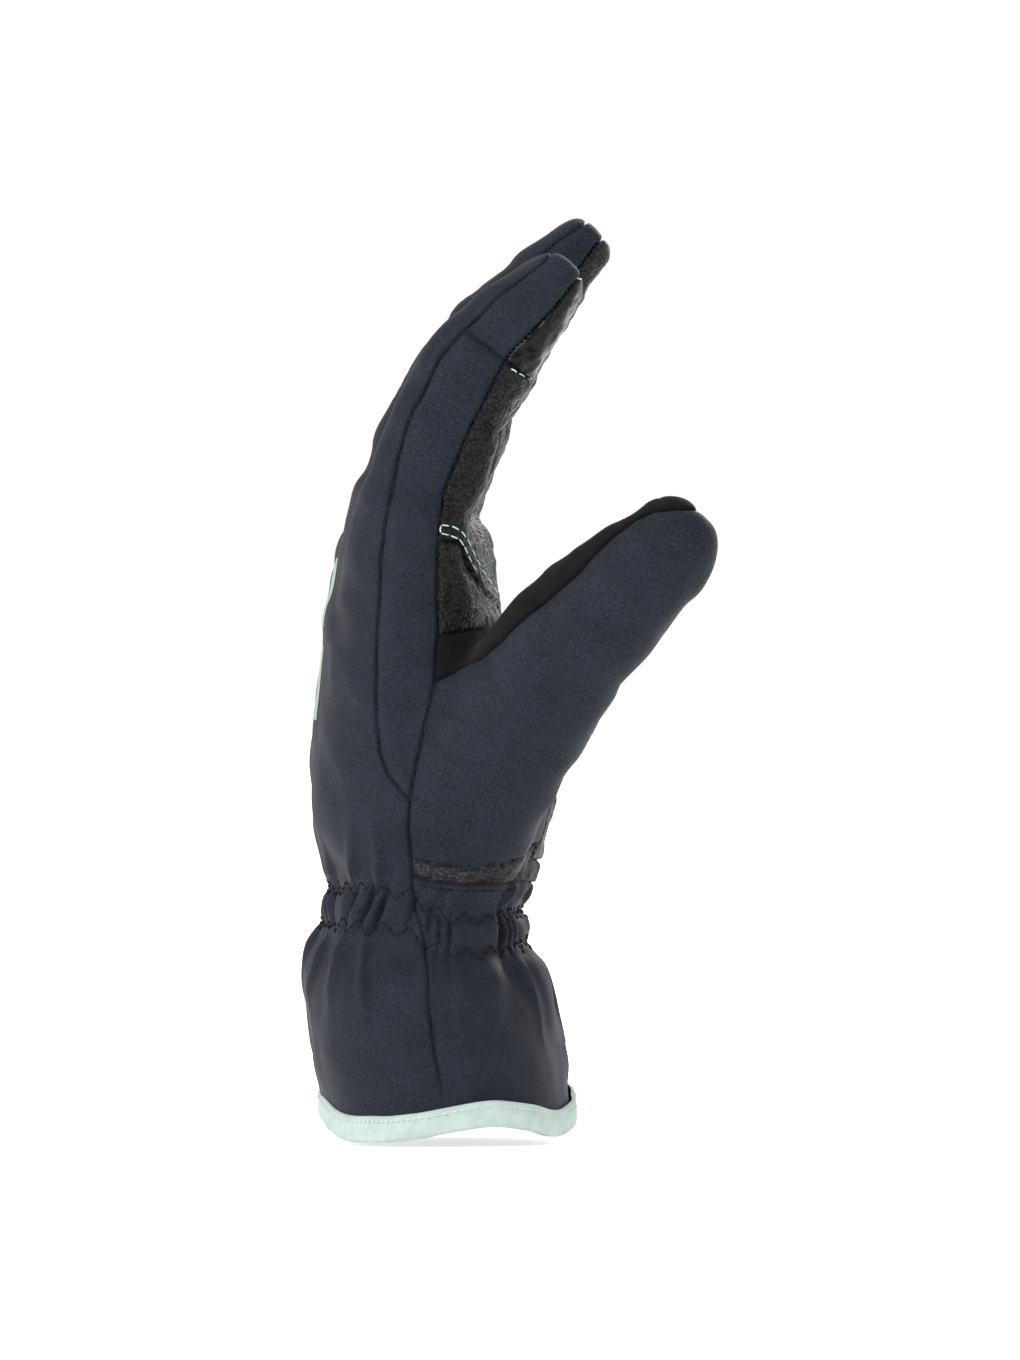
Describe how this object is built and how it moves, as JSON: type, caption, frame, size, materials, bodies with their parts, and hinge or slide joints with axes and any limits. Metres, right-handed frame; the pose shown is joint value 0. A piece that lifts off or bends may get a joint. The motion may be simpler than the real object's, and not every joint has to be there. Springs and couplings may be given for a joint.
{
  "type": "insulated ski glove",
  "caption": "Left-hand insulated winter glove with curved fingers, opposed thumb, leather palm, elastic wrist and flared cuff.",
  "frame": {"origin": "middle of the cuff's mouth, in the plane of the hem's lower edge", "axes": "+Z from the cuff to the fingertips, +X out of the palm, -Y towards the thumb's side"},
  "size_m": [0.1097, 0.1286, 0.245],
  "materials": {
    "shell_fabric": "matte softshell weave",
    "palm_leather": "pebbled grain, satin",
    "touch_leather": "smooth, glossy",
    "gusset": "matte microfibre",
    "lining": "brushed fleece over wadding",
    "elastic": "woven elastic",
    "binding": "matte woven tape",
    "print": "soft print"
  },
  "bodies": {
    "cuff": {"cuff_back_panel": "shell_fabric", "cuff_palm_panel": "shell_fabric", "cuff_lining": "lining", "hem_binding": "binding"},
    "hand": {"back_panel": "shell_fabric", "palm_panel": "palm_leather", "index_side_panel": "shell_fabric", "little_side_panel": "shell_fabric", "thumb_panel": "shell_fabric", "thumb_gusset": "gusset", "crotch_patch": "palm_leather", "heel_strip": "palm_leather", "wrist_panel": "shell_fabric", "wrist_elastic": "elastic", "back_liner": "lining", "palm_liner": "lining", "side_liners": "lining", "thumb_root_liner": "lining", "back_stripe": "print"},
    "index_base": {"index_base_back": "shell_fabric", "index_base_sides": "shell_fabric", "index_base_palm": "palm_leather", "index_base_liner": "lining"},
    "index_tip": {"index_tip_back": "shell_fabric", "index_tip_sides": "shell_fabric", "index_tip_palm": "palm_leather", "index_tip_liner": "lining", "index_touch_pad": "touch_leather"},
    "middle_base": {"middle_base_back": "shell_fabric", "middle_base_sides": "shell_fabric", "middle_base_palm": "palm_leather", "middle_base_liner": "lining"},
    "middle_tip": {"middle_tip_back": "shell_fabric", "middle_tip_sides": "shell_fabric", "middle_tip_palm": "palm_leather", "middle_tip_liner": "lining"},
    "ring_base": {"ring_base_back": "shell_fabric", "ring_base_sides": "shell_fabric", "ring_base_palm": "palm_leather", "ring_base_liner": "lining"},
    "ring_tip": {"ring_tip_back": "shell_fabric", "ring_tip_sides": "shell_fabric", "ring_tip_palm": "palm_leather", "ring_tip_liner": "lining"},
    "little_base": {"little_base_back": "shell_fabric", "little_base_sides": "shell_fabric", "little_base_palm": "palm_leather", "little_base_liner": "lining"},
    "little_tip": {"little_tip_back": "shell_fabric", "little_tip_sides": "shell_fabric", "little_tip_palm": "palm_leather", "little_tip_liner": "lining"},
    "thumb_base": {"thumb_base_outer": "shell_fabric", "thumb_base_leather": "palm_leather", "thumb_base_strip": "gusset", "thumb_base_liner": "lining"},
    "thumb_tip": {"thumb_tip_outer": "shell_fabric", "thumb_tip_leather": "palm_leather", "thumb_tip_strip": "gusset", "thumb_tip_liner": "lining"}
  },
  "joints": [
    {"name": "wrist", "type": "hinge", "parent": "cuff", "child": "hand", "pos_m": [-0.0059, 0, 0.062], "axis": [0, 1, 0], "range_deg": [-30, 35], "stiffness_Nm_per_rad": 1.2},
    {"name": "index_knuckle", "type": "hinge", "parent": "hand", "child": "index_base", "pos_m": [-0.00695, -0.0344, 0.17587], "axis": [0, 1, 0], "range_deg": [-15, 35], "stiffness_Nm_per_rad": 0.15},
    {"name": "index_middle_joint", "type": "hinge", "parent": "index_base", "child": "index_tip", "pos_m": [0.00253, -0.0344, 0.19566], "axis": [0, 1, 0], "range_deg": [-15, 45], "stiffness_Nm_per_rad": 0.08},
    {"name": "middle_knuckle", "type": "hinge", "parent": "hand", "child": "middle_base", "pos_m": [-0.00579, -0.0107, 0.17872], "axis": [0, 1, 0], "range_deg": [-15, 35], "stiffness_Nm_per_rad": 0.15},
    {"name": "middle_middle_joint", "type": "hinge", "parent": "middle_base", "child": "middle_tip", "pos_m": [0.00472, -0.0107, 0.20066], "axis": [0, 1, 0], "range_deg": [-15, 45], "stiffness_Nm_per_rad": 0.08},
    {"name": "ring_knuckle", "type": "hinge", "parent": "hand", "child": "ring_base", "pos_m": [-0.00602, 0.0131, 0.17613], "axis": [0, 1, 0], "range_deg": [-15, 35], "stiffness_Nm_per_rad": 0.15},
    {"name": "ring_middle_joint", "type": "hinge", "parent": "ring_base", "child": "ring_tip", "pos_m": [0.0033, 0.0131, 0.19678], "axis": [0, 1, 0], "range_deg": [-15, 45], "stiffness_Nm_per_rad": 0.08},
    {"name": "little_knuckle", "type": "hinge", "parent": "hand", "child": "little_base", "pos_m": [-0.00617, 0.0359, 0.16646], "axis": [0, 1, 0], "range_deg": [-15, 35], "stiffness_Nm_per_rad": 0.15},
    {"name": "little_middle_joint", "type": "hinge", "parent": "little_base", "child": "little_tip", "pos_m": [0.00009, 0.0359, 0.18325], "axis": [0, 1, 0], "range_deg": [-15, 45], "stiffness_Nm_per_rad": 0.08},
    {"name": "thumb_root", "type": "hinge", "parent": "hand", "child": "thumb_base", "pos_m": [0.0323, -0.0545, 0.1329], "axis": [0, -1, 0], "range_deg": [-20, 25], "stiffness_Nm_per_rad": 0.25},
    {"name": "thumb_joint", "type": "hinge", "parent": "thumb_base", "child": "thumb_tip", "pos_m": [0.047, -0.061, 0.1464], "axis": [0, -1, 0], "range_deg": [-5, 40], "stiffness_Nm_per_rad": 0.08}
  ]
}
